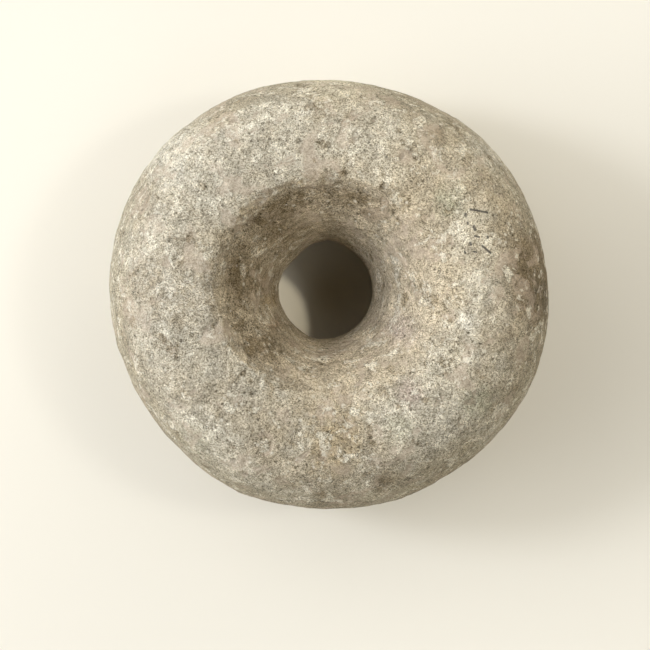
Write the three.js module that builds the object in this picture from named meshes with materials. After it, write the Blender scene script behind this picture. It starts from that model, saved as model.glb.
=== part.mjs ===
// A heavy ring of pecked grey stone, with an hourglass hole bored through it from both faces.
// Millimetres, +Z up. The ring lies on its underside, and the origin is under the middle of its box.
import * as THREE from "three";
import { mergeVertices } from "three/addons/utils/BufferGeometryUtils.js";

// Overall size. The plan is a slightly long oval, and the girth is the level where it is widest.
const LONG_WIDTH = 150;
const SHORT_WIDTH = 146;
const LONG_AXIS_TURN = -19; // degrees from +X
const HEIGHT = 88;
const GIRTH_HEIGHT = 43;

// The hourglass hole: a waist, and a funnel that opens from it to a mouth in each face.
// Its axis stands a little off the middle of the plan.
const WAIST_BORE = 32.2;
const WAIST_HEIGHT = 34;
const UPPER_MOUTH = 67;
const UPPER_RIM_DROP = 4; // from the crest down to the rim of the mouth
const LOWER_MOUTH = 62;
const LOWER_RIM_DROP = 3.5;
const RIM_SLOPE = 48; // degrees below level, where the face rolls over into the funnel
const HOLE_SHIFT_X = -1;
const HOLE_SHIFT_Y = 1.4;

// The top is highest along a crest circle, and the underside rests on a flat worn ring.
const CREST_CIRCLE = 102;
const FOOT_CIRCLE = 94;
const FOOT_WIDTH = 9;

// Shares that shape the curves between those sizes.
const SHOULDER_REACH = 0.6; // how far the top runs level before it turns down the side
const FLANK_REACH = 0.58; // how far the side stands upright above and below the girth
const FACE_REACH = 0.62; // how far each face runs level from its crest towards the mouth
const ROLL_REACH = 0.9; // length of the roll into the mouth, in rim drops
const FUNNEL_MOUTH_REACH = 0.3; // how long the funnel keeps the slope of its rim
const FUNNEL_WAIST_REACH = 0.36; // how long the funnel stays upright beside the waist

// The stone was dressed by hand. Each swell lifts or sinks the side towards one compass
// direction, counted from +X towards +Y: the rise is a share of the half width, and the
// spread is in degrees.
const SIDE_SWELLS = [
  { towards: 15, rise: -0.004, spread: 9 },
  { towards: 42, rise: 0.008, spread: 17 },
  { towards: 84, rise: -0.01, spread: 20 },
  { towards: 135, rise: 0.007, spread: 26 },
  { towards: 202, rise: -0.009, spread: 20 },
  { towards: 245, rise: 0.014, spread: 13 },
  { towards: 306, rise: -0.009, spread: 12 },
  { towards: 338, rise: 0.004, spread: 13 },
];

// The top is full height along most of its crest, and dips here and there by a share of it.
const CREST_DIPS = [
  { towards: 18, rise: -0.016, spread: 32 },
  { towards: 145, rise: -0.006, spread: 18 },
  { towards: 275, rise: -0.021, spread: 30 },
];

// The upper mouth is wider on one side than on the other. Shares of its half width.
const MOUTH_SWELLS = [
  { towards: 20, rise: 0.03, spread: 30 },
  { towards: 120, rise: -0.03, spread: 30 },
  { towards: 180, rise: 0.025, spread: 16 },
  { towards: 226, rise: -0.07, spread: 24 },
  { towards: 329, rise: 0.11, spread: 28 },
];

// The waist isn't quite round. Shares of its half width.
const WAIST_SWELLS = [
  { towards: 88, rise: 0.06, spread: 26 },
  { towards: 136, rise: -0.07, spread: 22 },
  { towards: 262, rise: 0.05, spread: 28 },
];

// How finely the surface is cut.
const STEPS_ROUND = 84;
const STEPS = { foot: 2, side: 10, upperFace: 6, upperFunnel: 9, lowerFunnel: 7, lowerFace: 4 };

const STONE_COLOUR = 0xb8ad97;
const STONE_ROUGHNESS = 0.92;

const point = (r, z) => new THREE.Vector2(r, z);

// A cubic curve from one point of the section to another. Each lead is the step from its end
// to that end's handle.
function curve(from, leadOut, to, leadIn) {
  return new THREE.CubicBezierCurve(from, from.clone().add(leadOut), to.clone().add(leadIn), to);
}

// The closed section of the ring: x is the distance from the hole's axis, and y is the height.
// It runs round anticlockwise, from the foot's inner edge out and up the side.
function sectionCurves() {
  const girth = point((LONG_WIDTH + SHORT_WIDTH) / 4, GIRTH_HEIGHT);
  const crest = point(CREST_CIRCLE / 2, HEIGHT);
  const footInner = point((FOOT_CIRCLE - FOOT_WIDTH) / 2, 0);
  const footOuter = point((FOOT_CIRCLE + FOOT_WIDTH) / 2, 0);
  const waist = point(WAIST_BORE / 2, WAIST_HEIGHT);
  const upperRim = point(UPPER_MOUTH / 2, HEIGHT - UPPER_RIM_DROP);
  const lowerRim = point(LOWER_MOUTH / 2, LOWER_RIM_DROP);
  const slope = THREE.MathUtils.degToRad(RIM_SLOPE);
  const outAndUp = point(Math.cos(slope), Math.sin(slope));
  const outAndDown = point(Math.cos(slope), -Math.sin(slope));
  const upperWall = upperRim.distanceTo(waist);
  const lowerWall = lowerRim.distanceTo(waist);
  return [
    { steps: STEPS.foot, path: new THREE.LineCurve(footInner, footOuter) },
    {
      steps: STEPS.side,
      path: curve(
        footOuter,
        point(SHOULDER_REACH * (girth.x - footOuter.x), 0),
        girth,
        point(0, -FLANK_REACH * girth.y),
      ),
    },
    {
      steps: STEPS.side,
      path: curve(
        girth,
        point(0, FLANK_REACH * (crest.y - girth.y)),
        crest,
        point(SHOULDER_REACH * (girth.x - crest.x), 0),
      ),
    },
    {
      steps: STEPS.upperFace,
      path: curve(
        crest,
        point(-FACE_REACH * (crest.x - upperRim.x), 0),
        upperRim,
        outAndUp.clone().multiplyScalar(ROLL_REACH * UPPER_RIM_DROP),
      ),
    },
    {
      steps: STEPS.upperFunnel,
      path: curve(
        upperRim,
        outAndUp.clone().multiplyScalar(-FUNNEL_MOUTH_REACH * upperWall),
        waist,
        point(0, FUNNEL_WAIST_REACH * upperWall),
      ),
    },
    {
      steps: STEPS.lowerFunnel,
      path: curve(
        waist,
        point(0, -FUNNEL_WAIST_REACH * lowerWall),
        lowerRim,
        outAndDown.clone().multiplyScalar(-FUNNEL_MOUTH_REACH * lowerWall),
      ),
    },
    {
      steps: STEPS.lowerFace,
      path: curve(
        lowerRim,
        outAndDown.clone().multiplyScalar(ROLL_REACH * LOWER_RIM_DROP),
        footInner,
        point(-FACE_REACH * (footInner.x - lowerRim.x), 0),
      ),
    },
  ];
}

// The section's points, with the first one repeated at the end so that the ring closes.
function sectionPoints() {
  const points = sectionCurves().flatMap(({ steps, path }) => path.getSpacedPoints(steps).slice(0, -1));
  return [...points, points[0].clone()];
}

// The sum of a list of swells in one direction, both in degrees.
function swellTowards(swells, degrees) {
  return swells.reduce((sum, { towards, rise, spread }) => {
    const apart = THREE.MathUtils.euclideanModulo(degrees - towards + 180, 360) - 180;
    return sum + rise * Math.exp(-((apart / spread) ** 2));
  }, 0);
}

// The half width of the oval plan in one direction, as a share of its mean.
function ovalShare(degrees) {
  const turn = THREE.MathUtils.degToRad(degrees - LONG_AXIS_TURN);
  const oval = 1 / Math.hypot(Math.cos(turn) / LONG_WIDTH, Math.sin(turn) / SHORT_WIDTH);
  return oval / ((LONG_WIDTH + SHORT_WIDTH) / 2);
}

// Turns the true ring into the hand-dressed one. The side takes the plan's swells, the hole
// takes its own, and the faces between them take a blend. The foot stays flat at its level.
function dressByHand(geometry) {
  const { smoothstep } = THREE.MathUtils;
  const position = geometry.getAttribute("position");
  for (let i = 0; i < position.count; i++) {
    const x = position.getX(i);
    const y = position.getY(i);
    const z = position.getZ(i);
    const radius = Math.hypot(x, y);
    const degrees = THREE.MathUtils.radToDeg(Math.atan2(y, x));

    const sideShare = smoothstep(radius, UPPER_MOUTH / 2, CREST_CIRCLE / 2);
    const holeShare = 1 - sideShare;
    const upShare = smoothstep(z, WAIST_HEIGHT, HEIGHT - UPPER_RIM_DROP);
    const riseShare = smoothstep(z, GIRTH_HEIGHT, HEIGHT);
    const side = ovalShare(degrees) * (1 + swellTowards(SIDE_SWELLS, degrees));
    const mouth = upShare * swellTowards(MOUTH_SWELLS, degrees);
    const waist = (1 - upShare) * swellTowards(WAIST_SWELLS, degrees);
    const stretch = holeShare * (1 + mouth + waist) + sideShare * side;
    position.setXYZ(
      i,
      x * stretch + holeShare * HOLE_SHIFT_X,
      y * stretch + holeShare * HOLE_SHIFT_Y,
      z + riseShare * HEIGHT * swellTowards(CREST_DIPS, degrees),
    );
  }
  return geometry;
}

// Centres the stone's box over the origin, with its foot at height 0.
function standOnOrigin(geometry) {
  geometry.computeBoundingBox();
  const middle = geometry.boundingBox.getCenter(new THREE.Vector3());
  return geometry.translate(-middle.x, -middle.y, -geometry.boundingBox.min.z);
}

function makeRing() {
  const turned = new THREE.LatheGeometry(sectionPoints(), STEPS_ROUND).rotateX(Math.PI / 2);
  turned.deleteAttribute("normal");
  turned.deleteAttribute("uv");
  const geometry = standOnOrigin(dressByHand(mergeVertices(turned)));
  geometry.computeVertexNormals();
  const stone = new THREE.MeshStandardMaterial({
    color: STONE_COLOUR,
    roughness: STONE_ROUGHNESS,
    metalness: 0,
  });
  const ring = new THREE.Mesh(geometry, stone);
  ring.name = "stone_ring";
  return ring;
}

const boredStone = new THREE.Group();
boredStone.add(makeRing());

export default boredStone;
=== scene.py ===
"""The looks of a heavy ring of pecked grey stone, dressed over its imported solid.

Everything is in metres and in the solid's own frame: +Z up, with the underside at height 0.
"""
import logging
import math
from dataclasses import dataclass, field
from enum import Enum
from functools import partial, reduce
from typing import ClassVar

import bmesh
import bpy
import numpy as np
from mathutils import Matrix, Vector


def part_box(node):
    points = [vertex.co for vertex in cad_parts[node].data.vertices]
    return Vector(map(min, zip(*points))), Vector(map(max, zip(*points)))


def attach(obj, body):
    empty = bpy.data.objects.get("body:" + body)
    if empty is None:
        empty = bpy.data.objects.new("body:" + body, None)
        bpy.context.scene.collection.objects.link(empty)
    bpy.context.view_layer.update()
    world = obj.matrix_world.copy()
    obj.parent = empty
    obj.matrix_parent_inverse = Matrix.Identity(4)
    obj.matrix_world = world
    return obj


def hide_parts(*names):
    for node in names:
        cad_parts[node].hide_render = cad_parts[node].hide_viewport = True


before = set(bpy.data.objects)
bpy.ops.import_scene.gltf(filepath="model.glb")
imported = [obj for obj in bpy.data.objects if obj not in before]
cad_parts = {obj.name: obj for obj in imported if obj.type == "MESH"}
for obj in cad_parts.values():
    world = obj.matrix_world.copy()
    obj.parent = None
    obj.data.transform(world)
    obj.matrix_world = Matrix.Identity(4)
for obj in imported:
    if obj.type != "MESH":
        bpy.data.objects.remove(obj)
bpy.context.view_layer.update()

MM = 0.001
LOG = logging.getLogger("stone_ring")

Socket = bpy.types.NodeSocket
Term = Socket | float
Colour = tuple[float, float, float]
Corner = tuple[float, float, float]
Band = tuple[float, float]


def linear(red: int, green: int, blue: int) -> Colour:
    """Turns screen levels from 0 to 255 into linear ones from 0 to 1, by the sRGB curve."""
    levels = (level / 255 for level in (red, green, blue))
    return tuple(v / 12.92 if v <= 0.04045 else ((v + 0.055) / 1.055) ** 2.4 for v in levels)


def added(name: str, data: bpy.types.ID) -> bpy.types.Object:
    """Adds an object to the scene, to show a mesh, a light or a camera."""
    thing = bpy.data.objects.new(name, data)
    bpy.context.scene.collection.objects.link(thing)
    return thing


class Wiring:
    """Adds nodes to one node tree and joins them, so that a tree reads as a row of sums."""

    def __init__(self, tree: bpy.types.NodeTree) -> None:
        """Empties the tree that is to be filled."""
        self.tree = tree
        tree.nodes.clear()

    def add(self, kind: str, **settings: object) -> bpy.types.Node:
        """Adds a node.

        Args:
            kind: Blender's name for the type of node.
            settings: values for its own properties.

        Returns:
            The node.
        """
        node = self.tree.nodes.new(kind)
        for name, value in settings.items():
            setattr(node, name, value)
        return node

    def feed(self, socket: Socket, term: object) -> None:
        """Links a socket into another, or sets it to a plain value.

        Args:
            socket: the input to feed.
            term: an output socket, or a value.
        """
        if isinstance(term, Socket):
            self.tree.links.new(term, socket)
        else:
            socket.default_value = term

    def sum(self, operation: str, first: Term, second: Term = 0.0) -> Socket:
        """Works out one number from others.

        Args:
            operation: Blender's name for the operation.
            first: its first term.
            second: its second term, if it has one.

        Returns:
            The socket that holds the result.
        """
        node = self.add("ShaderNodeMath", operation=operation)
        for socket, term in zip(node.inputs, (first, second)):
            self.feed(socket, term)
        return node.outputs[0]

    def vector(self, operation: str, *terms: object) -> bpy.types.Node:
        """Works out a vector, or a number, from vectors.

        Args:
            operation: Blender's name for the operation.
            terms: its terms, in order.

        Returns:
            The node that holds the result.
        """
        node = self.add("ShaderNodeVectorMath", operation=operation)
        for socket, term in zip(node.inputs, terms):
            self.feed(socket, term)
        return node

    def split(self, vector: Socket) -> tuple[Socket, ...]:
        """Splits a vector.

        Args:
            vector: the vector or colour to split.

        Returns:
            The sockets that hold its three numbers.
        """
        node = self.add("ShaderNodeSeparateXYZ")
        self.feed(node.inputs[0], vector)
        return tuple(node.outputs)

    def rest_of(self, level: Term) -> Socket:
        """Is what a level leaves of 1."""
        return self.sum("SUBTRACT", 1.0, level)

    def centred(self, level: Term) -> Socket:
        """Moves a level that swings about 0.5, so that it swings about 0."""
        return self.sum("SUBTRACT", level, 0.5)

    def length(self, across: Term, along: Term) -> Socket:
        """Works out how long a line in the plan is, from its two sides."""
        return self.sum("SQRT", self.total(self.product(across, across), self.product(along, along)))

    def total(self, *terms: Term) -> Socket:
        """Adds up any number of terms."""
        return reduce(partial(self.sum, "ADD"), terms)

    def product(self, *terms: Term) -> Socket:
        """Multiplies any number of terms."""
        return reduce(partial(self.sum, "MULTIPLY"), terms)

    def fade(self, value: Term, low: Term, high: Term, start: Term = 0.0, end: Term = 1.0) -> Socket:
        """Goes smoothly from one level to another as a value crosses a band.

        Args:
            value: the value that is watched.
            low: where the band begins.
            high: where the band ends.
            start: the level before the band.
            end: the level after the band.

        Returns:
            The socket that holds the level.
        """
        node = self.add("ShaderNodeMapRange", interpolation_type="SMOOTHSTEP")
        for socket, term in zip(node.inputs, (value, low, high, start, end)):
            self.feed(socket, term)
        return node.outputs[0]

    def fall(self, value: Term, near: Term, far: Term) -> Socket:
        """Is 1 up to a near value, and fades smoothly to 0 at a far one."""
        return self.rest_of(self.fade(value, near, far))

    def noise(self, place: Socket, size: Term, detail: float = 1.0, roughness: float = 0.5,
              seed: Term = 0.0, twist: float = 0.0) -> Socket:
        """Makes soft lumps of one size.

        Args:
            place: where the pattern is read.
            size: how far apart the lumps are, in metres.
            detail: how many finer octaves they carry.
            roughness: how strong each finer octave is.
            seed: which of the endless patterns it is.
            twist: how much the lumps are drawn into wisps.

        Returns:
            The socket that holds a level about 0.5.
        """
        node = self.add("ShaderNodeTexNoise", noise_dimensions="4D")
        self.feed(node.inputs["Vector"], place)
        self.feed(node.inputs["W"], seed)
        self.feed(node.inputs["Scale"], self.per(size))
        self.feed(node.inputs["Detail"], detail)
        self.feed(node.inputs["Roughness"], roughness)
        self.feed(node.inputs["Distortion"], twist)
        return node.outputs[0]

    def cells(self, place: Socket, size: Term, seed: Term = 0.0) -> tuple[Socket, ...]:
        """Makes crystal-like cells of one size.

        Args:
            place: where the pattern is read.
            size: how far apart the cells are, in metres.
            seed: which of the endless patterns it is.

        Returns:
            The distance from the nearest cell's middle, in cells, and that cell's own random level.
        """
        node = self.add("ShaderNodeTexVoronoi", voronoi_dimensions="4D")
        self.feed(node.inputs["Vector"], place)
        self.feed(node.inputs["W"], seed)
        self.feed(node.inputs["Scale"], self.per(size))
        return node.outputs["Distance"], self.split(node.outputs["Color"])[0]

    def per(self, size: Term) -> Term:
        """Turns a size in metres into a pattern's scale."""
        return self.sum("DIVIDE", 1.0, size) if isinstance(size, Socket) else 1 / size

    def blend(self, factor: Term, first: object, second: object, mode: str = "MIX") -> Socket:
        """Mixes two colours.

        Args:
            factor: how much of the second one there is.
            first: the colour underneath.
            second: the colour on top.
            mode: Blender's name for the way they mix.

        Returns:
            The socket that holds the colour.
        """
        node = self.add("ShaderNodeMix", data_type="RGBA", blend_type=mode)
        self.feed(node.inputs["Factor"], factor)
        for socket, colour in ((node.inputs[6], first), (node.inputs[7], second)):
            self.feed(socket, colour if isinstance(colour, Socket) else (*colour, 1.0))
        return node.outputs[2]

    def scaled(self, vector: object, level: Term) -> Socket:
        """Makes a vector longer or shorter, or a colour lighter or darker.

        Args:
            vector: the vector or colour to change.
            level: what each of its numbers is multiplied by.

        Returns:
            The socket that holds the result.
        """
        node = self.vector("SCALE", vector)
        self.feed(node.inputs["Scale"], level)
        return node.outputs[0]


@dataclass(frozen=True)
class RingForm:
    """The sizes of the solid that the looks are worked out from."""

    low: Corner
    high: Corner
    height: float
    hole_axis: tuple[float, float]
    waist_radius: float
    waist_height: float
    mouth_radius: float
    crest_radius: float

    SAME_HEIGHT: ClassVar[float] = 0.1 * MM
    RIM_HEIGHTS: ClassVar[Band] = (0.94, 0.965)
    MOUTH_REACH: ClassVar[float] = 0.6
    CREST_HEIGHT: ClassVar[float] = 0.9995

    @classmethod
    def of_solid(cls, node: str) -> "RingForm":
        """Measures the solid.

        Args:
            node: the name of the solid's node.

        Returns:
            Its sizes.
        """
        low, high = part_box(node)
        places = np.array([tuple(v.co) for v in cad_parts[node].data.vertices])
        reach = np.hypot(places[:, 0], places[:, 1])
        heights = places[:, 2]
        waist_height = float(heights[reach.argmin()])
        level_with_waist = np.abs(heights - waist_height) < cls.SAME_HEIGHT
        waist = places[level_with_waist & (reach < 2 * reach[level_with_waist].min())]
        axis = (waist[:, :2].min(0) + waist[:, :2].max(0)) / 2
        from_axis = np.hypot(*(places[:, :2] - axis).T)
        low_rim, high_rim = (share * high.z for share in cls.RIM_HEIGHTS)
        rim = (heights > low_rim) & (heights < high_rim) & (from_axis < high.x * cls.MOUTH_REACH)
        return cls(
            low=tuple(low),
            high=tuple(high),
            height=high.z,
            hole_axis=(float(axis[0]), float(axis[1])),
            waist_radius=float(np.hypot(*(waist[:, :2] - axis).T).mean()),
            waist_height=waist_height,
            mouth_radius=float(from_axis[rim].mean()),
            crest_radius=float(reach[heights > high.z * cls.CREST_HEIGHT].mean()),
        )

    def from_axis(self, w: Wiring, place: Socket) -> tuple[Socket, ...]:
        """Works out where each point is from the foot of the hole's axis, along +X, +Y and +Z."""
        return w.split(w.vector("SUBTRACT", place, (*self.hole_axis, 0.0)).outputs[0])


class Zone(Enum):
    """The ways that the stone's surface was worked or worn, and the wall under its rim that the material
    darkens as painted shade, as the names of mesh attributes.
    """

    GROUND = "ground"
    HANDLED = "handled"
    PECKED_OUT = "pecked_out"
    CREVICE = "crevice"


@dataclass
class PeckedRelief:
    """The Geometry Nodes tree that pecks a smooth ring: lumps, dents, chips, struck pits and coarse grain.

    The surface swings in and out about the solid's, and is set back a little on the top and the side.
    A band says where a level begins to change and where it is full: in metres from the foot, the top, the
    waist, the crest or a rim, in cells, in shares of the height, or in levels of a noise or of the lean.
    """

    form: RingForm
    sizes: dict[str, float] = field(default_factory=lambda: {
        "Lump size": 17 * MM,
        "Lump depth": 1.5 * MM,
        "Dent size": 6.0 * MM,
        "Dent depth": 1.6 * MM,
        "Chip size": 5.0 * MM,
        "Chip depth": 0.9 * MM,
        "Lip height": 1.3 * MM,
        "Lip undercut": 1.3 * MM,
        "Peck size": 3.0 * MM,
        "Peck depth": 0.7 * MM,
        "Grain size": 1.6 * MM,
        "Grain depth": 0.45 * MM,
        "Top setback": 0.5 * MM,
        "Side setback": 0.25 * MM,
        "Seed": 4.0,
    })
    foot: Band = (0.05 * MM, 0.9 * MM)
    calm: Band = (1 * MM, 9 * MM)
    calm_share: float = 0.3
    struck_reach: Band = (0.1, 0.55)
    struck_chance: Band = (0.35, 0.8)
    chipped: Band = (0.46, 0.72)
    ground_calm: float = 0.3
    handled_calm: float = 0.4
    top_band: Band = (7 * MM, 1.5 * MM)
    side_band: Band = (0.0, 9 * MM)
    ragged_size: float = 7 * MM
    ragged_lean: float = 0.2
    hole_edge: Band = (4 * MM, 10 * MM)
    ground_lean: Band = (0.76, 0.97)
    handled_edge: Band = (8 * MM, 18 * MM)
    handled_lean: Band = (0.3, 0.8)
    rim_reach: Band = (1.5 * MM, 7 * MM)
    rim_heights: Band = (0.3, 0.42)
    crisp_side: Corner = (-0.8, 0.6, 0.0)
    crisp_reach: Band = (-8 * MM, 10 * MM)
    crisp_heights: Band = (0.72, 0.86)
    wander_size: float = 9 * MM
    wander_seed: float = 12.0
    wander_swing: float = 5 * MM
    lip_rise: Band = (-0.5 * MM, 2.5 * MM)
    lip_fall: Band = (3.5 * MM, 15 * MM)
    wall_rise: Band = (-14 * MM, -4 * MM)
    wall_fall: Band = (-2.5 * MM, 0.0)

    def tree(self) -> bpy.types.NodeTree:
        """Builds the tree.

        Returns:
            A geometry tree with one input for the mesh, one for each size and one for the finish.
        """
        tree = bpy.data.node_groups.new("pecked_relief", "GeometryNodeTree")
        w = Wiring(tree)
        tree.interface.new_socket("Geometry", in_out="INPUT", socket_type="NodeSocketGeometry")
        for name in self.sizes:
            tree.interface.new_socket(name, in_out="INPUT", socket_type="NodeSocketFloat")
        tree.interface.new_socket("Finish", in_out="INPUT", socket_type="NodeSocketMaterial")
        tree.interface.new_socket("Geometry", in_out="OUTPUT", socket_type="NodeSocketGeometry")
        given = w.add("NodeGroupInput").outputs

        place = w.add("GeometryNodeInputPosition").outputs[0]
        normal = w.add("GeometryNodeInputNormal").outputs[0]
        x, y, height = self.form.from_axis(w, place)
        reach = w.length(x, y)
        ground, handled = self.zones(w, place, normal, reach)
        seed = given["Seed"]
        calm_starts, calm_ends = (self.form.waist_radius + distance for distance in self.calm)
        outer = w.fade(reach, calm_starts, calm_ends, self.calm_share, 1.0)
        lumps = w.product(w.centred(w.noise(place, given["Lump size"], detail=2, seed=seed)), outer)
        dents = w.centred(w.noise(place, given["Dent size"], seed=seed))
        grain = w.centred(w.noise(place, given["Grain size"], seed=seed))
        middle, strike = w.cells(place, given["Peck size"], seed)
        struck = w.product(w.fall(middle, *self.struck_reach), w.fade(strike, *self.struck_chance))
        chips = w.product(
            w.fade(w.noise(place, given["Chip size"], detail=2, seed=seed), *self.chipped),
            self.near_rim(w, reach, height),
        )

        smoothed = w.total(w.product(ground, self.ground_calm), w.product(handled, self.handled_calm))
        roughness = w.rest_of(smoothed)
        lip, undercut = self.crisp_rim(w, place, reach, height)
        rise = w.total(
            w.product(lip, given["Lip height"]),
            w.product(lumps, given["Lump depth"]),
            w.product(dents, given["Dent depth"], roughness),
            w.product(grain, given["Grain depth"], roughness),
        )
        sink = w.total(
            w.product(struck, given["Peck depth"], roughness),
            w.product(undercut, given["Lip undercut"]),
            w.product(chips, given["Chip depth"]),
            w.product(w.fade(height, *self.below_top()), given["Top setback"]),
            w.product(w.fade(reach, *self.outside_crest(self.side_band)), given["Side setback"]),
        )
        above_foot = w.rest_of(w.fall(height, *self.foot))
        offset = w.product(w.sum("SUBTRACT", rise, sink), above_foot)
        moved = w.add("GeometryNodeSetPosition")
        w.feed(moved.inputs["Geometry"], given["Geometry"])
        w.feed(moved.inputs["Offset"], w.scaled(normal, offset))

        result = moved.outputs[0]
        levels = {
            Zone.GROUND: ground,
            Zone.HANDLED: handled,
            Zone.PECKED_OUT: w.product(struck, roughness),
            # The wall under the crisp rim, which the material darkens as painted shade.
            Zone.CREVICE: undercut,
        }
        for zone, level in levels.items():
            kept = w.add("GeometryNodeStoreNamedAttribute", data_type="FLOAT", domain="POINT")
            w.feed(kept.inputs["Geometry"], result)
            w.feed(kept.inputs["Name"], zone.value)
            w.feed(kept.inputs["Value"], level)
            result = kept.outputs[0]
        whole = w.add("GeometryNodeRealizeInstances")
        w.feed(whole.inputs["Geometry"], result)
        finished = w.add("GeometryNodeSetMaterial")
        w.feed(finished.inputs["Geometry"], whole.outputs[0])
        w.feed(finished.inputs["Material"], given["Finish"])
        w.feed(w.add("NodeGroupOutput").inputs["Geometry"], finished.outputs[0])
        return tree

    def below_top(self) -> Band:
        """Turns the top's band into heights."""
        return tuple(self.form.height - distance for distance in self.top_band)

    def outside_crest(self, band: Band) -> Band:
        """Turns a band outside the crest into distances from the hole's axis."""
        return tuple(self.form.crest_radius + distance for distance in band)

    def zones(self, w: Wiring, place: Socket, normal: Socket, reach: Term) -> tuple[Term, Term]:
        """Finds where the stone was ground or handled.

        Args:
            w: the tree's wiring.
            place: where each point of the surface is.
            normal: which way it faces.
            reach: how far it is from the hole's axis.

        Returns:
            How far each point is ground smooth by the drill, and rubbed by handling.
        """
        lean = w.sum("ABSOLUTE", w.split(normal)[2])
        hole_starts, hole_ends = (self.form.mouth_radius + distance for distance in self.hole_edge)
        ragged = w.centred(w.noise(place, self.ragged_size, detail=2))
        lean = w.total(lean, w.product(ragged, self.ragged_lean))
        inside = w.fall(reach, hole_starts, hole_ends)
        outside = w.fade(reach, *self.outside_crest(self.handled_edge))
        ground = w.product(inside, w.fall(lean, *self.ground_lean))
        handled = w.product(outside, w.fall(lean, *self.handled_lean))
        return ground, handled

    def near_rim(self, w: Wiring, reach: Term, height: Term) -> Socket:
        """Finds the rims of the two mouths, where the edge has crumbled.

        Args:
            w: the tree's wiring.
            reach: how far each point is from the hole's axis.
            height: how high it is.

        Returns:
            A level that is 1 at the rims.
        """
        apart = w.sum("ABSOLUTE", w.sum("SUBTRACT", reach, self.form.mouth_radius))
        from_middle = w.sum("ABSOLUTE", w.sum("SUBTRACT", height, self.form.height / 2))
        starts, ends = (self.form.height * share for share in self.rim_heights)
        return w.product(w.fall(apart, *self.rim_reach), w.fade(from_middle, starts, ends))

    def crisp_rim(self, w: Wiring, place: Socket, reach: Term, height: Term) -> tuple[Term, Term]:
        """Finds the upper mouth's rim where it is still crisp, on its left and back.

        Args:
            w: the tree's wiring.
            place: where each point of the surface is.
            reach: how far it is from the hole's axis.
            height: how high it is.

        Returns:
            A level for the lip outside the rim, and one for the wall under it.
        """
        towards = w.vector("DOT_PRODUCT", place, self.crisp_side).outputs["Value"]
        wander = w.centred(w.noise(place, self.wander_size, detail=2, seed=self.wander_seed))
        from_rim = w.total(reach, w.product(wander, self.wander_swing), -self.form.mouth_radius)
        starts, ends = (self.form.height * share for share in self.crisp_heights)
        kept = w.product(w.fade(towards, *self.crisp_reach), w.fade(height, starts, ends))
        lip = w.product(w.fade(from_rim, *self.lip_rise), w.fall(from_rim, *self.lip_fall), kept)
        wall = w.product(w.fade(from_rim, *self.wall_rise), w.fall(from_rim, *self.wall_fall), kept)
        return lip, wall


class Tint(Enum):
    """The colours that patches of the stone lean to, as they would look under plain light. Some earth and
    soot patches are painted shade, on the sides away from the key light.
    """

    CREAM = (208, 199, 175)
    OCHRE = (174, 154, 118)
    RUST = (166, 140, 118)
    LICHEN = (164, 161, 138)
    ROSE = (172, 158, 143)
    EARTH_AND_SHADE = (124, 110, 86)
    CHALK = (210, 205, 190)
    SOOT_AND_SHADE = (96, 87, 68)

    @property
    def attribute(self) -> str:
        """The name of the mesh attribute that says how strong the tint is."""
        return "tint_" + self.name.lower()


@dataclass(frozen=True)
class Patch:
    """One soft patch of a tint.

    Attributes:
        x: how far right of the stone's middle it is, in millimetres.
        y: how far behind the middle it is, in millimetres.
        size: how far it spreads, in millimetres.
        strength: how much of the tint there is in its middle.
    """

    x: float
    y: float
    size: float
    strength: float

    def reach(self, places: np.ndarray) -> np.ndarray:
        """Works out how strongly the patch reaches each place in the plan, given in metres."""
        apart = np.hypot(places[:, 0] - self.x * MM, places[:, 1] - self.y * MM)
        return self.strength * np.exp(-((apart / (self.size * MM)) ** 2))


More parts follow.
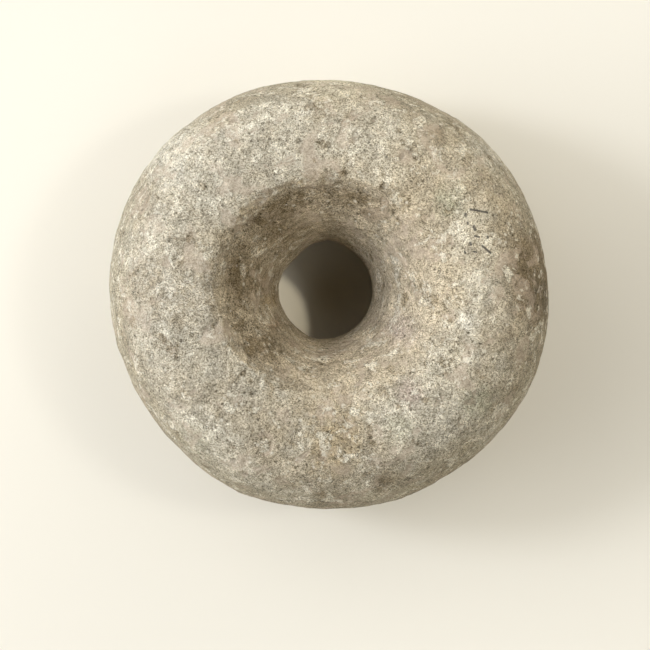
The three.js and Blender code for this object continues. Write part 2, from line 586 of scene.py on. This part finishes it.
UPPER_PATCHES: dict[Tint, tuple[Patch, ...]] = {
    Tint.CREAM: (
        Patch(1.8, -38.0, 5.0, 0.3), Patch(-2.0, -46.5, 6.0, 0.3), Patch(37.9, -22.1, 6.5, 0.35),
        Patch(-25.6, -11.8, 5.0, 0.3), Patch(-41.7, 14.0, 7.0, 0.35), Patch(2.0, 71.0, 14.0, 0.5),
        Patch(40.0, 50.0, 15.0, 0.24), Patch(17.0, 17.0, 10.0, 0.32), Patch(22.0, -4.0, 7.0, 0.28),
    ),
    Tint.OCHRE: (Patch(1.0, -47.0, 14.0, 0.46), Patch(-20.0, -2.0, 3.5, 0.5)),
    Tint.CHALK: (
        Patch(-50.0, 2.0, 20.0, 0.36), Patch(-54.0, 50.0, 20.0, 0.42), Patch(44.7, -8.9, 5.0, 0.55),
        Patch(-8.9, 58.0, 6.0, 0.35), Patch(54.0, 48.0, 12.0, 0.42), Patch(54.0, -46.0, 10.0, 0.36),
        Patch(52.0, 2.0, 11.0, 0.3), Patch(38.0, -43.0, 9.0, 0.3),
    ),
    Tint.EARTH_AND_SHADE: (
        Patch(-34.0, -40.0, 15.0, 0.3), Patch(35.0, 51.5, 6.0, 0.5), Patch(17.9, -60.1, 6.0, 0.5),
        # Partly stain, partly painted shade: the patches at (72, 6) and (66, -22) darken the right flank,
        # the side away from the key light.
        Patch(6.7, 55.8, 5.0, 0.45), Patch(72.0, 6.0, 19.0, 0.95), Patch(0.0, -68.0, 14.0, 0.4),
        Patch(0.0, 52.0, 11.0, 0.3), Patch(0.0, -22.0, 7.0, 0.36), Patch(66.0, -22.0, 10.0, 0.35),
        # Painted shade: these three patches darken the funnel's left wall, the side away from the key
        # light.
        Patch(-26.0, 4.0, 12.0, 0.56), Patch(-20.0, -16.0, 11.0, 0.5), Patch(-16.0, 20.0, 11.0, 0.56),
        Patch(-60.0, 33.0, 12.0, 0.35),
    ),
    Tint.LICHEN: (
        Patch(38.9, 30.0, 6.5, 0.55), Patch(48.5, -34.4, 7.0, 0.55), Patch(22.8, -43.4, 6.0, 0.5),
        Patch(-44.0, -48.0, 9.0, 0.35),
    ),
    Tint.ROSE: (Patch(25.7, -32.4, 5.5, 0.7), Patch(22.8, -11.8, 7.0, 0.6)),
    Tint.RUST: (Patch(-18.5, -10.0, 3.0, 0.45), Patch(-22.0, 5.0, 2.5, 0.3)),
    Tint.SOOT_AND_SHADE: (
        Patch(-37.5, -43.7, 0.9, 0.8), Patch(35.0, -33.1, 3.0, 0.5), Patch(13.1, -48.2, 2.0, 0.45),
        # Partly stain, partly painted shade: the patch at (70, -1) darkens the right flank, the side away
        # from the key light.
        Patch(25.6, 46.5, 1.6, 0.6), Patch(70.0, -1.0, 10.0, 0.45),
    ),
}
LOWER_PATCHES: dict[Tint, tuple[Patch, ...]] = {
    Tint.CREAM: (Patch(30.0, 38.0, 9.0, 0.35),),
    Tint.EARTH_AND_SHADE: (Patch(-38.0, 22.0, 13.0, 0.5),),
    Tint.LICHEN: (Patch(12.0, -52.0, 11.0, 0.4),),
    Tint.ROSE: (Patch(-30.0, -40.0, 10.0, 0.5),),
    Tint.CHALK: (Patch(52.0, -18.0, 7.0, 0.4),),
}


@dataclass(frozen=True)
class InkStroke:
    """A short dark stroke left on the top, in millimetres from the stone's middle."""

    start: tuple[float, float]
    end: tuple[float, float]
    width: float


INK_STROKES = (
    InkStroke((45.6, 27.0), (51.0, 26.1), 0.45),
    InkStroke((43.9, 25.6), (44.0, 24.9), 0.5),
    InkStroke((46.6, 21.4), (47.0, 20.5), 0.7),
    InkStroke((46.9, 18.4), (48.3, 18.1), 0.4),
    InkStroke((44.6, 22.8), (44.7, 22.3), 0.4),
    InkStroke((45.4, 16.2), (45.7, 15.7), 0.5),
    InkStroke((49.4, 15.2), (52.0, 13.0), 0.45),
    InkStroke((43.6, 13.4), (43.9, 12.9), 0.4),
    InkStroke((46.6, 13.4), (47.4, 13.2), 0.4),
    InkStroke((51.0, 18.4), (51.2, 17.8), 0.35),
)


@dataclass(frozen=True)
class Cloud:
    """A noise pattern of the finish.

    Attributes:
        size: how far apart its lumps are, in metres.
        detail: how many finer octaves they carry.
        roughness: how strong each finer octave is.
        seed: which of the endless patterns it is.
        band: the levels between which it goes from nothing to its full.
        strength: how strong it is where it is full.
        twist: how much the lumps are drawn into wisps.
    """

    size: float
    detail: float
    roughness: float
    seed: float
    band: Band = (0.0, 1.0)
    strength: float = 1.0
    twist: float = 0.0

    def noise(self, w: Wiring, place: Socket) -> Socket:
        """Makes the pattern itself, as a level about 0.5."""
        return w.noise(place, self.size, self.detail, self.roughness, self.seed, self.twist)

    def shown(self, w: Wiring, place: Socket) -> Socket:
        """Makes the level of how much of the pattern shows, before its strength."""
        return w.fade(self.noise(w, place), *self.band)


@dataclass(frozen=True)
class Speck:
    """A kind of small round speck in the finish.

    Attributes:
        size: how far apart the specks are, in metres.
        seed: which of the endless patterns they follow.
        ragged: how much the fine grain breaks their edges.
        reach: where a speck's edge begins and ends, in cells from its middle.
        chance: the random levels between which cells come to hold one.
        strength: how much of its colour there is in its middle.
    """

    size: float
    seed: float
    ragged: float
    reach: Band
    chance: Band
    strength: float

    def shown(self, w: Wiring, place: Socket, fine: Socket, rough: Term) -> Socket:
        """Makes the level of how much the specks show, before their strength.

        Args:
            w: the material's wiring.
            place: the stone's own coordinates.
            fine: the fine grain.
            rough: how rough each place is.

        Returns:
            The socket that holds the level.
        """
        middle, kind = w.cells(place, self.size, self.seed)
        edge = w.fall(w.total(middle, w.product(fine, self.ragged)), *self.reach)
        return w.product(edge, w.fade(kind, *self.chance), rough)


@dataclass(frozen=True)
class PeckedStone:
    """The finish of the stone: grey-beige and granular, pecked on its faces and ground in its hole.

    Its colours are named for what they colour, and its shares say how much of a colour or a contrast is
    laid on. Sizes and depths are in metres.
    """

    form: RingForm
    name: str = "pecked_stone"
    light: Colour = linear(182, 174, 155)
    dark: Colour = linear(168, 156, 133)
    ground: Colour = linear(177, 164, 140)
    crust: Colour = linear(213, 206, 187)
    bald: Colour = linear(176, 160, 141)
    # The stains' colour, also laid on the wall under the rim as painted shade.
    grime_and_shade: Colour = linear(118, 103, 76)
    handled: Colour = linear(150, 141, 119)
    fleck: Colour = linear(224, 217, 199)
    pit: Colour = linear(88, 78, 58)
    ink: Colour = linear(58, 56, 54)
    dark_grain: Colour = (1.0, 0.955, 0.83)
    dark_grain_band: Band = (-0.6, 0.0)
    roughness: float = 0.88
    specular: float = 0.25
    broad: Cloud = Cloud(22 * MM, 3, 0.6, 1.0, (0.36, 0.64))
    mottle: Cloud = Cloud(5.2 * MM, 3, 0.65, 2.0, (0.32, 0.68), twist=0.6)
    broken: Cloud = Cloud(3.2 * MM, 3, 0.7, 3.0, (0.12, 0.75), 0.9)
    skin: Cloud = Cloud(10 * MM, 3, 0.6, 13.0, (0.53, 0.62), 0.5, 0.8)
    crusts: Cloud = Cloud(5.8 * MM, 4, 0.7, 14.0, (0.545, 0.61), 0.7, 0.5)
    stains: Cloud = Cloud(7.5 * MM, 4, 0.72, 15.0, (0.57, 0.66), 0.62, 0.5)
    drill: Cloud = Cloud(1.0, 2, 0.6, 5.0)
    coarse: Cloud = Cloud(1.7 * MM, 3, 0.68, 6.0, strength=1.2, twist=1.6)
    fine: Cloud = Cloud(0.5 * MM, 1, 0.7, 7.0, (0.36, 0.64), 0.2, 1.5)
    rubbed: Cloud = Cloud(0.9 * MM, 1, 0.6, 11.0, (0.26, 0.42), 0.85)
    crystals: Speck = Speck(2.3 * MM, 9.0, 0.5, (0.35, 0.62), (0.55, 0.75), 0.6)
    pits: Speck = Speck(1.9 * MM, 10.0, 0.4, (0.3, 0.5), (0.5, 0.7), 0.65)
    ink_edge: Band = (0.8, 2.2)
    ink_height: float = 0.8
    salt_size: float = 0.33 * MM
    salt_seed: float = 8.0
    salt_share: float = 0.88
    fine_height: float = 0.5
    grain_share: float = 1.15
    grain_on_stains: float = 0.3
    grain_handled: float = 0.2
    grain_in_crevice: float = 0.3
    grain_lost_on_skin: float = 0.6
    mottle_range: Band = (0.8, 1.18)
    handled_share: float = 0.6
    ground_share: float = 0.8
    tint_edge: Band = (0.0, 0.12)
    streak_size: float = 1.1 * MM
    streak_length: float = 2.2
    streak_share: float = 0.9
    struck_share: float = 0.24
    # Painted shade under the rim: the mottle levels across which it changes, and how much of the stains'
    # colour it lays.
    crevice_band: Band = (0.35, 0.6)
    crevice_range: Band = (0.85, 0.3)
    grain_depth: float = 0.42 * MM
    mottle_depth: float = 0.8 * MM
    crust_depth: float = 0.18 * MM
    stain_depth: float = -0.2 * MM
    pit_depth: float = -0.35 * MM
    streak_depth: float = 0.6 * MM

    def material(self) -> bpy.types.Material:
        """Builds the material.

        Returns:
            A material that reads the stone's own coordinates and its zones.
        """
        material = bpy.data.materials.new(self.name)
        material.use_nodes = True
        w = Wiring(material.node_tree)
        place = w.add("ShaderNodeTexCoord").outputs["Object"]
        ground, handled, struck, crevice = (self.level(w, zone.value) for zone in Zone)

        colour = w.blend(self.broad.shown(w, place), self.dark, self.light)
        colour = w.blend(w.product(handled, self.handled_share), colour, self.handled)
        colour = w.blend(w.product(ground, self.ground_share), colour, self.ground)
        colour = self.patches(w, place, colour)

        mottle = self.mottle.noise(w, place)
        colour = w.scaled(colour, w.fade(mottle, *self.mottle.band, *self.mottle_range))
        skin = self.skin.shown(w, place)
        crusts = self.crusts.shown(w, place)
        stains = self.stains.shown(w, place)
        colour = w.blend(w.product(skin, self.skin.strength), colour, self.bald)
        colour = w.blend(w.product(crusts, self.crusts.strength), colour, self.crust)
        colour = w.blend(w.product(stains, self.stains.strength), colour, self.grime_and_shade)
        streaks = self.streaks(w, place)
        colour = w.scaled(colour, w.total(1.0, w.product(w.centred(streaks), ground, self.streak_share)))
        # Painted shade: the wall under the crisp rim takes the stains' colour, broken by the mottle, where
        # the rim's shadow falls.
        painted_crevice_shade = w.product(crevice, w.fade(mottle, *self.crevice_band, *self.crevice_range))
        colour = w.blend(painted_crevice_shade, colour, self.grime_and_shade)
        colour = w.scaled(colour, w.rest_of(w.product(struck, self.struck_share)))
        rough = self.rough(w, skin, stains, handled, crevice)
        colour, grain, pits = self.grains(w, place, rough, colour)
        colour = self.inked(w, place, colour)

        shader = w.add("ShaderNodeBsdfPrincipled")
        w.feed(shader.inputs["Base Color"], colour)
        shader.inputs["Roughness"].default_value = self.roughness
        shader.inputs["Specular IOR Level"].default_value = self.specular
        bump = w.add("ShaderNodeBump")
        bump.inputs["Strength"].default_value = 1.0
        bump.inputs["Distance"].default_value = 1.0
        depth = w.total(
            w.product(grain, rough, self.grain_depth),
            w.product(mottle, self.mottle_depth),
            w.product(crusts, self.crust_depth),
            w.product(stains, self.stain_depth),
            w.product(pits, self.pit_depth),
            w.product(streaks, ground, self.streak_depth),
        )
        w.feed(bump.inputs["Height"], depth)
        w.feed(shader.inputs["Normal"], bump.outputs[0])
        w.feed(w.add("ShaderNodeOutputMaterial").inputs["Surface"], shader.outputs[0])
        return material

    def rough(self, w: Wiring, skin: Term, stains: Term, handled: Term, crevice: Term) -> Socket:
        """Works out how strong the grain is.

        Args:
            w: the material's wiring.
            skin: how bald each place is.
            stains: how stained it is.
            handled: how much it was handled.
            crevice: how far under the rim it is.

        Returns:
            The socket that holds a level about 1.
        """
        added = w.total(
            w.product(stains, self.grain_on_stains),
            w.product(handled, self.grain_handled),
            w.product(crevice, self.grain_in_crevice),
        )
        return w.sum("SUBTRACT", w.total(self.grain_share, added), w.product(skin, self.grain_lost_on_skin))

    def level(self, w: Wiring, attribute: str) -> Socket:
        """Reads one of the mesh's own levels, by its attribute's name."""
        return w.add("ShaderNodeAttribute", attribute_name=attribute).outputs["Fac"]

    def patches(self, w: Wiring, place: Socket, colour: Socket) -> Socket:
        """Tints the stone where its patches are, with broken edges.

        Args:
            w: the material's wiring.
            place: the stone's own coordinates.
            colour: the colour so far.

        Returns:
            The tinted colour.
        """
        broken = w.product(w.centred(self.broken.noise(w, place)), self.broken.strength)
        for tint in Tint:
            strength = self.level(w, tint.attribute)
            inside = w.fade(w.total(strength, broken), *self.broken.band)
            shown = w.product(inside, w.fade(strength, *self.tint_edge))
            colour = w.blend(shown, colour, linear(*tint.value))
        return colour

    def streaks(self, w: Wiring, place: Socket) -> Socket:
        """Makes the fine rings that the drill left round the hole.

        Args:
            w: the material's wiring.
            place: the stone's own coordinates.

        Returns:
            The socket that holds a level about 0.5, drawn out round the hole's axis.
        """
        x, y, z = self.form.from_axis(w, place)
        reach = w.length(x, y)
        drawn = w.add("ShaderNodeCombineXYZ")
        w.feed(drawn.inputs[0], w.product(w.sum("SUBTRACT", reach, z), 1 / self.streak_size))
        w.feed(drawn.inputs[1], w.product(w.sum("DIVIDE", x, reach), self.streak_length))
        w.feed(drawn.inputs[2], w.product(w.sum("DIVIDE", y, reach), self.streak_length))
        return self.drill.noise(w, drawn.outputs[0])

    def grains(self, w: Wiring, place: Socket, rough: Term, colour: Socket) -> tuple[Socket, ...]:
        """Adds the stone's grains: salt and pepper, pale crystals and dark pits.

        Args:
            w: the material's wiring.
            place: the stone's own coordinates.
            rough: how rough each place is.
            colour: the colour so far.

        Returns:
            The colour with its grains, the height of the grains, and how deep the pits are.
        """
        coarse = self.coarse.noise(w, place)
        fine = self.fine.noise(w, place)
        _, salt = w.cells(place, self.salt_size, self.salt_seed)
        level = w.total(
            w.product(w.centred(coarse), self.coarse.strength),
            w.fade(fine, *self.fine.band, -self.fine.strength, self.fine.strength),
            w.product(w.centred(salt), self.salt_share),
        )
        contrast = w.product(level, rough)
        colour = w.scaled(colour, w.total(1.0, contrast))
        darkened = w.fade(contrast, *self.dark_grain_band, 1.0, 0.0)
        colour = w.blend(darkened, colour, self.dark_grain, "MULTIPLY")

        crystals = self.crystals.shown(w, place, fine, rough)
        colour = w.blend(w.product(crystals, self.crystals.strength), colour, self.fleck)
        pits = self.pits.shown(w, place, fine, rough)
        colour = w.blend(w.product(pits, self.pits.strength), colour, self.pit)
        return colour, w.total(coarse, w.product(fine, self.fine_height)), pits

    def inked(self, w: Wiring, place: Socket, colour: Socket) -> Socket:
        """Adds the rubbed remains of some dark strokes and specks on the top.

        Args:
            w: the material's wiring.
            place: the stone's own coordinates.
            colour: the colour so far.

        Returns:
            The colour with the strokes.
        """
        flat = w.vector("MULTIPLY", place, (1.0, 1.0, 0.0)).outputs[0]
        shown = 0.0
        for stroke in INK_STROKES:
            start, end = (Vector((*point, 0.0)) * MM for point in (stroke.start, stroke.end))
            span = end - start
            from_start = w.vector("SUBTRACT", flat, start).outputs[0]
            along = w.vector("DOT_PRODUCT", from_start, span / span.length_squared).outputs["Value"]
            share = w.add("ShaderNodeClamp")
            w.feed(share.inputs[0], along)
            nearest = w.vector("MULTIPLY_ADD", share.outputs[0], span, start).outputs[0]
            apart = w.vector("DISTANCE", flat, nearest).outputs["Value"]
            edge = (halves * stroke.width / 2 * MM for halves in self.ink_edge)
            shown = w.sum("MAXIMUM", shown, w.fall(apart, *edge))
        height = w.split(place)[2]
        on_top = w.fade(height, self.form.waist_height, self.form.height * self.ink_height)
        rubbed = self.rubbed.shown(w, place)
        return w.blend(w.product(shown, rubbed, on_top, self.rubbed.strength), colour, self.ink)


@dataclass
class StoneRing:
    """The stone itself: a fine mesh over the solid, pecked, and tinted patch by patch.

    Attributes:
        rounding: how often the solid's faces are split into four.
        side_fade: the shares of the height between which the lower tints give way to the upper ones.
        seam: how near two of the solid's points are when they are one, in metres.
        sharpest_bend: how far two triangles may bend and still join to one face, in radians.
    """

    form: RingForm
    node: str = "stone_ring"
    body: str = "root"
    slot: str = "pecked_stone"
    rounding: int = 3
    most_triangles: int = 190_000
    side_fade: Band = (0.16, 0.47)
    seam: float = 0.01 * MM
    sharpest_bend: float = math.radians(60)

    def build(self) -> None:
        """Makes the finished stone and ties it to its solid."""
        finish = PeckedStone(self.form).material()
        smooth = self.quads_of_solid()
        smooth.data.materials.append(finish)
        stone = self.pecked(smooth, finish)
        self.tint(stone)
        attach(stone, self.body)
        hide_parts(self.node)
        LOG.info("%s: %d triangles", stone.name, len(stone.data.polygons))

    def quads_of_solid(self) -> bpy.types.Object:
        """Copies the solid as one joined skin of four-sided faces.

        Returns:
            A new object with that mesh.
        """
        mesh = bpy.data.meshes.new("pecked_ring")
        skin = bmesh.new()
        skin.from_mesh(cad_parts[self.node].data)
        bmesh.ops.remove_doubles(skin, verts=skin.verts, dist=self.seam)
        bmesh.ops.join_triangles(
            skin,
            faces=skin.faces,
            angle_face_threshold=self.sharpest_bend,
            angle_shape_threshold=math.pi,
        )
        skin.to_mesh(mesh)
        skin.free()
        mesh.materials.clear()
        return added("pecked_ring", mesh)

    def pecked(self, smooth: bpy.types.Object, finish: bpy.types.Material) -> bpy.types.Object:
        """Rounds the skin, pecks it and thins its triangles.

        Args:
            smooth: the skin of four-sided faces. It is used up.
            finish: the stone's material.

        Returns:
            The pecked stone as a plain mesh with no modifiers, held inside the solid's box.
        """
        rounded = smooth.modifiers.new("rounded", "SUBSURF")
        rounded.levels = rounded.render_levels = self.rounding
        relief = PeckedRelief(self.form)
        pecks = smooth.modifiers.new("pecks", "NODES")
        pecks.node_group = relief.tree()
        for socket in pecks.node_group.interface.items_tree:
            if socket.name in relief.sizes:
                pecks[socket.identifier] = relief.sizes[socket.name]
            if socket.name == "Finish":
                pecks[socket.identifier] = finish
        thinned = smooth.modifiers.new("thinned", "DECIMATE")
        triangles = 2 * len(smooth.data.polygons) * 4 ** self.rounding
        thinned.ratio = min(1.0, self.most_triangles / triangles)
        thinned.use_collapse_triangulate = True

        view = bpy.context.evaluated_depsgraph_get()
        mesh = bpy.data.meshes.new_from_object(smooth.evaluated_get(view), depsgraph=view)
        mesh.name = "stone_ring_pecked"
        places = np.empty(len(mesh.vertices) * 3, np.float32)
        mesh.vertices.foreach_get("co", places)
        held = places.reshape(-1, 3).clip(self.form.low, self.form.high)
        mesh.vertices.foreach_set("co", held.astype(np.float32).ravel())
        mesh.polygons.foreach_set("use_smooth", np.ones(len(mesh.polygons), bool))
        mesh.materials.clear()
        mesh.materials.append(finish)
        bpy.data.objects.remove(smooth)
        return added("pecked_stone_ring", mesh)

    def tint(self, stone: bpy.types.Object) -> None:
        """Stores on each point how strongly every tint's patches reach it.

        Args:
            stone: the pecked stone.
        """
        mesh = stone.data
        places = np.empty(len(mesh.vertices) * 3, np.float32)
        mesh.vertices.foreach_get("co", places)
        places = places.reshape(-1, 3)
        start, end = (share * self.form.height for share in self.side_fade)
        rise = ((places[:, 2] - start) / (end - start)).clip(0, 1)
        upper = rise * rise * (3 - 2 * rise)
        for tint in Tint:
            strength = np.zeros(len(places), np.float32)
            for patches, side in ((UPPER_PATCHES, upper), (LOWER_PATCHES, 1 - upper)):
                for patch in patches.get(tint, ()):
                    strength = np.maximum(strength, patch.reach(places) * side)
            kept = mesh.attributes.new(tint.attribute, "FLOAT", "POINT")
            kept.data.foreach_set("value", strength)


@dataclass(frozen=True)
class PaleBoard:
    """The finish of the plain pale floor."""

    name: str = "pale_board"
    colour: Colour = (0.872, 0.828, 0.715)

    def material(self) -> bpy.types.Material:
        """Builds the material.

        Returns:
            A material of one matt colour.
        """
        material = bpy.data.materials.new(self.name)
        material.use_nodes = True
        w = Wiring(material.node_tree)
        shader = w.add("ShaderNodeBsdfPrincipled")
        shader.inputs["Base Color"].default_value = (*self.colour, 1.0)
        shader.inputs["Roughness"].default_value = 1.0
        shader.inputs["Specular IOR Level"].default_value = 0.0
        w.feed(w.add("ShaderNodeOutputMaterial").inputs["Surface"], shader.outputs[0])
        return material


def direction(towards: float, elevation: float) -> Vector:
    """Works out a direction of length 1 from degrees round from +X towards +Y and degrees up."""
    turn, rise = math.radians(towards), math.radians(elevation)
    return Vector((math.cos(turn) * math.cos(rise), math.sin(turn) * math.cos(rise), math.sin(rise)))


@dataclass(frozen=True)
class Lamp:
    """A light that faces the stone or the floor below it.

    Attributes:
        name: what the light is called.
        towards: the compass direction that it stands in, in degrees from +X towards +Y.
        elevation: how high it stands, in degrees.
        distance: how far off it stands, in metres.
        share: its share of the floor's brightness.
        colour: its tint.
    """

    name: str
    towards: float
    elevation: float
    distance: float
    share: float
    colour: Colour

    def build(self, brightness: float, floor: float, aim: Vector) -> None:
        """Makes the light.

        Args:
            brightness: how bright the floor is to look.
            floor: how much of the light the floor gives back.
            aim: the point that the light faces.
        """
        out = direction(self.towards, self.elevation)
        light, length = self.source()
        light.color = self.colour
        light.energy = self.share * brightness * length ** 2 / (floor * out.z)
        lamp = added(self.name, light)
        lamp.location = aim + out * self.distance
        lamp.rotation_euler = out.to_track_quat("Z", "Y").to_euler()
        LOG.info("%s", self.name)

    def source(self) -> tuple[bpy.types.Light, float]:
        """Is given by each kind of lamp."""
        raise NotImplementedError


@dataclass(frozen=True)
class Softbox(Lamp):
    """A round soft light. Its spread is how wide it looks from the stone, in degrees."""

    spread: float

    def source(self) -> tuple[bpy.types.Light, float]:
        """Makes the light itself.

        Returns:
            The light, and the length whose square is its power for a brightness of 1.
        """
        light = bpy.data.lights.new(self.name, "AREA")
        light.shape = "DISK"
        light.size = 2 * self.distance * math.tan(math.radians(self.spread / 2))
        return light, math.pi * self.distance


@dataclass(frozen=True)
class Beam(Lamp):
    """A narrow light with soft edges. Its cone is in degrees, and its size in metres."""

    cone: float
    size: float

    def source(self) -> tuple[bpy.types.Light, float]:
        """Makes the light itself.

        Returns:
            The light, and the length whose square is its power for a brightness of 1.
        """
        light = bpy.data.lights.new(self.name, "SPOT")
        light.spot_size = math.radians(self.cone)
        light.spot_blend = 1.0
        light.shadow_soft_size = self.size / 2
        return light, 2 * math.pi * self.distance


@dataclass(frozen=True)
class Window:
    """A broad glow on one side of the studio.

    Attributes:
        towards: the compass direction that it is in, in degrees from +X towards +Y.
        elevation: how high its middle is, in degrees.
        brightness: how bright its middle is.
        sharpness: how quickly it fades away from its middle.
        colour: its tint.
    """

    towards: float
    elevation: float
    brightness: float
    sharpness: float = 10.0
    colour: Colour = (1.0, 1.0, 1.0)


@dataclass
class Studio:
    """The plain pale floor, the lights, the camera straight above, and the glow from the sides.

    Lengths are in metres, apart from the sensor's, which is in millimetres. The lit spot is the one that
    the beam is aimed at, from the foot of the hole's axis. The rig edge is where the glow ends overhead.
    """

    form: RingForm
    board: PaleBoard = PaleBoard()
    floor_width: float = 6.0
    brightness: float = 0.9
    softboxes: tuple[Softbox, ...] = (
        Softbox("key_light", 168.0, 45.0, 1.3, 0.165, (0.95, 1.0, 1.12), spread=12.0),
        Softbox("fill_light", 6.0, 62.5, 1.3, 0.085, (1.0, 1.0, 0.98), spread=7.0),
    )
    beam: Beam = Beam("hole_light", 22.0, 64.0, 1.3, 0.47, (1.1, 1.0, 0.8), cone=3.4, size=0.08)
    windows: tuple[Window, ...] = (
        Window(180.0, 15.0, 5.9, colour=(0.97, 1.0, 1.06)),
        Window(135.0, 30.0, 2.3),
        Window(60.0, 15.0, 2.6, colour=(1.03, 1.0, 0.94)),
        Window(270.0, 15.0, 1.45, colour=(1.04, 1.0, 0.92)),
        Window(0.0, 70.0, 2.25, colour=(1.03, 1.0, 0.94)),
    )
    lit_spot: Corner = (-12.0 * MM, -3.0 * MM, 0.0)
    rig_edge: Band = (0.925, 0.955)
    camera_height: float = 0.85
    view_width: float = 0.233
    stone_off_axis: tuple[float, float] = (1.36 * MM, 10.24 * MM)
    sensor: float = 36.0

    def build(self) -> None:
        """Makes everything in the studio."""
        self.floor()
        aim = Vector((0.0, 0.0, self.form.height / 2))
        hole = Vector((*self.form.hole_axis, 0.0)) + Vector(self.lit_spot)
        for softbox in self.softboxes:
            softbox.build(self.brightness, self.board.colour[1], aim)
        self.beam.build(self.brightness, self.board.colour[1], hole)
        self.surroundings()
        self.camera()

    def floor(self) -> None:
        """Lays the floor at height 0."""
        half = self.floor_width / 2
        corners = [(-half, -half, 0.0), (half, -half, 0.0), (half, half, 0.0), (-half, half, 0.0)]
        mesh = bpy.data.meshes.new("floor")
        mesh.from_pydata(corners, [], [(0, 1, 2, 3)])
        mesh.materials.append(self.board.material())
        floor = added("floor", mesh)
        LOG.info("floor")

    def surroundings(self) -> None:
        """Lights the scene from broad glows, and not from straight above, where the camera rig hangs."""
        world = bpy.data.worlds.new("studio_air")
        world.use_nodes = True
        bpy.context.scene.world = world
        w = Wiring(world.node_tree)
        facing = w.add("ShaderNodeTexCoord").outputs["Generated"]
        glow = None
        for window in self.windows:
            out = direction(window.towards, window.elevation)
            towards = w.vector("DOT_PRODUCT", facing, out).outputs["Value"]
            level = w.sum("POWER", w.sum("MAXIMUM", towards, 0.0), window.sharpness)
            tint = w.scaled(window.colour, w.product(level, window.brightness))
            glow = tint if glow is None else w.vector("ADD", glow, tint).outputs[0]
        air = w.add("ShaderNodeBackground")
        w.feed(air.inputs["Color"], glow)
        w.feed(air.inputs["Strength"], w.fall(w.split(facing)[2], *self.rig_edge))
        w.feed(w.add("ShaderNodeOutputWorld").inputs["Surface"], air.outputs[0])

    def camera(self) -> None:
        """Hangs the camera straight above, looking down."""
        lens = bpy.data.cameras.new("camera")
        lens.sensor_width = self.sensor
        lens.lens = self.sensor * self.camera_height / self.view_width
        camera = added("camera", lens)
        across, along = self.stone_off_axis
        camera.location = (-across, -along, self.camera_height)
        bpy.context.scene.camera = camera
        bpy.context.scene.view_settings.view_transform = "Standard"


def main() -> None:
    """Builds the studio and the stone, and notes the size of the solid and of the looks."""
    logging.basicConfig(level=logging.INFO, format="%(name)s %(message)s")
    form = RingForm.of_solid("stone_ring")
    LOG.info("%s", form)
    Studio(form).build()
    StoneRing(form).build()


if __name__ == "__main__":
    main()
